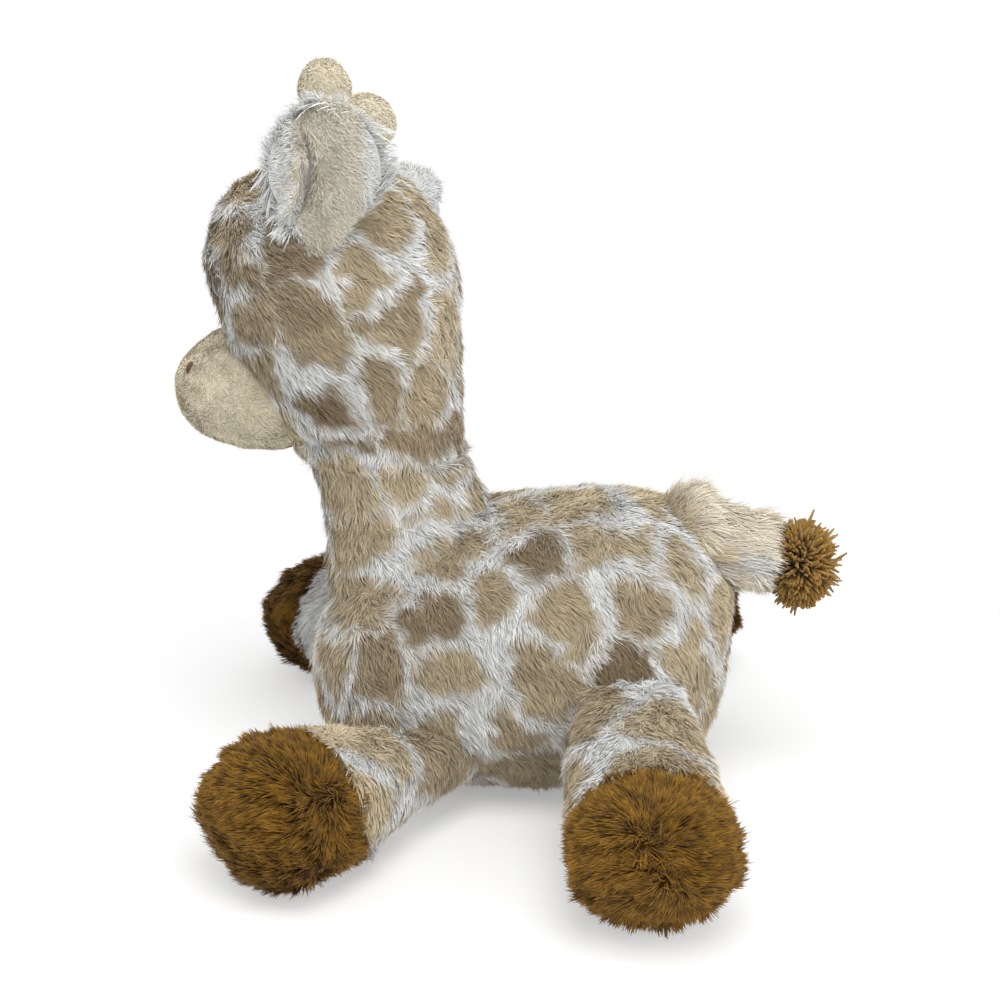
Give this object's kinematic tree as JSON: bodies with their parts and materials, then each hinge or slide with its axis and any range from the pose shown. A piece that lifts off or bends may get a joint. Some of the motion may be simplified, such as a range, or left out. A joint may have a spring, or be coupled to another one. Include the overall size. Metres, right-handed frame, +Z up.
{
  "type": "plush giraffe",
  "caption": "Soft toy giraffe lying on its belly, with splayed legs and shaggy hooves, cupped ears, short horns, a rounded muzzle and a tail with a yarn pom-pom.",
  "frame": {"origin": "on the flat of the belly, in the middle plane, at the height of the floor", "axes": "+Z up, -Y the way the toy faces, +X its own left side"},
  "size_m": [0.3794, 0.3367, 0.3549],
  "materials": {
    "plush": "long-pile plush, white with tan patches",
    "minky": "short-pile cream plush",
    "shag": "long golden-brown shag",
    "yarn": "brown acrylic yarn",
    "stuffing": "polyester fibre",
    "thread": "brown sewing thread",
    "eye_plastic": "polished black",
    "washer_plastic": "natural polythene"
  },
  "bodies": {
    "torso": {"torso_skin": "plush", "torso_stuffing": "stuffing"},
    "neck": {"neck_skin": "plush", "neck_stuffing": "stuffing"},
    "head": {"head_skin": "plush", "head_stuffing": "stuffing", "muzzle_skin": "minky", "muzzle_stuffing": "stuffing", "left_eye": "eye_plastic", "right_eye": "eye_plastic", "left_eye_washer": "washer_plastic", "right_eye_washer": "washer_plastic", "left_nostril_stitch": "thread", "right_nostril_stitch": "thread"},
    "left_ear": {"left_ear_back": "plush", "left_ear_lining": "minky"},
    "right_ear": {"right_ear_back": "plush", "right_ear_lining": "minky"},
    "left_horn": {"left_horn_skin": "minky", "left_horn_stuffing": "stuffing"},
    "right_horn": {"right_horn_skin": "minky", "right_horn_stuffing": "stuffing"},
    "front_left_leg": {"front_left_leg_skin": "plush", "front_left_hoof_skin": "shag", "front_left_leg_stuffing": "stuffing"},
    "front_right_leg": {"front_right_leg_skin": "plush", "front_right_hoof_skin": "shag", "front_right_leg_stuffing": "stuffing"},
    "hind_left_leg": {"hind_left_leg_skin": "plush", "hind_left_hoof_skin": "shag", "hind_left_leg_stuffing": "stuffing"},
    "hind_right_leg": {"hind_right_leg_skin": "plush", "hind_right_hoof_skin": "shag", "hind_right_leg_stuffing": "stuffing"},
    "tail": {"tail_skin": "plush", "tail_stuffing": "stuffing"},
    "pompom": {"tail_pompom": "yarn", "pompom_tie": "thread"}
  },
  "joints": [
    {"name": "neck_bend", "type": "hinge", "parent": "torso", "child": "neck", "pos_m": [0, -0.0431, 0.10944], "axis": [1, 0, 0], "range_deg": [-12, 18], "stiffness_Nm_per_rad": 2},
    {"name": "head_turn", "type": "hinge", "parent": "neck", "child": "head", "pos_m": [0, -0.05644, 0.16744], "axis": [0, 0, 1], "range_deg": [-35, 35], "stiffness_Nm_per_rad": 0.4},
    {"name": "left_ear_flop", "type": "hinge", "parent": "head", "child": "left_ear", "pos_m": [0.0496, -0.07345, 0.27402], "axis": [0, 1, -0.0024], "range_deg": [-4, 30], "stiffness_Nm_per_rad": 0.05},
    {"name": "right_ear_flop", "type": "hinge", "parent": "head", "child": "right_ear", "pos_m": [-0.0496, -0.07345, 0.27402], "axis": [0, -0.6126, 0.7904], "range_deg": [-12, 25], "stiffness_Nm_per_rad": 0.05},
    {"name": "left_horn_nod", "type": "hinge", "parent": "head", "child": "left_horn", "pos_m": [0.0186, -0.07219, 0.30395], "axis": [1, 0, 0], "range_deg": [-18, 18], "stiffness_Nm_per_rad": 0.02},
    {"name": "right_horn_nod", "type": "hinge", "parent": "head", "child": "right_horn", "pos_m": [-0.0186, -0.08227, 0.30395], "axis": [1, 0, 0], "range_deg": [-18, 18], "stiffness_Nm_per_rad": 0.02},
    {"name": "front_left_leg_swing", "type": "hinge", "parent": "torso", "child": "front_left_leg", "pos_m": [0.05472, -0.01988, 0.0304], "axis": [0, 0, 1], "range_deg": [-10, 25], "stiffness_Nm_per_rad": 0.3},
    {"name": "front_right_leg_swing", "type": "hinge", "parent": "torso", "child": "front_right_leg", "pos_m": [-0.05472, -0.01988, 0.0304], "axis": [0, 0, -1], "range_deg": [-10, 25], "stiffness_Nm_per_rad": 0.3},
    {"name": "hind_left_leg_swing", "type": "hinge", "parent": "torso", "child": "hind_left_leg", "pos_m": [0.04464, 0.06584, 0.0608], "axis": [0, 0, 1], "range_deg": [-20, 15], "stiffness_Nm_per_rad": 0.3},
    {"name": "hind_right_leg_swing", "type": "hinge", "parent": "torso", "child": "hind_right_leg", "pos_m": [-0.04464, 0.06584, 0.0608], "axis": [0, 0, -1], "range_deg": [-20, 15], "stiffness_Nm_per_rad": 0.3},
    {"name": "tail_swing", "type": "hinge", "parent": "torso", "child": "tail", "pos_m": [0, 0.0973, 0.12692], "axis": [0, 0, 1], "range_deg": [-25, 25], "stiffness_Nm_per_rad": 0.1},
    {"name": "pompom_nod", "type": "hinge", "parent": "tail", "child": "pompom", "pos_m": [0, 0.1233, 0.11892], "axis": [1, 0, 0], "range_deg": [-22, 22], "stiffness_Nm_per_rad": 0.02}
  ]
}
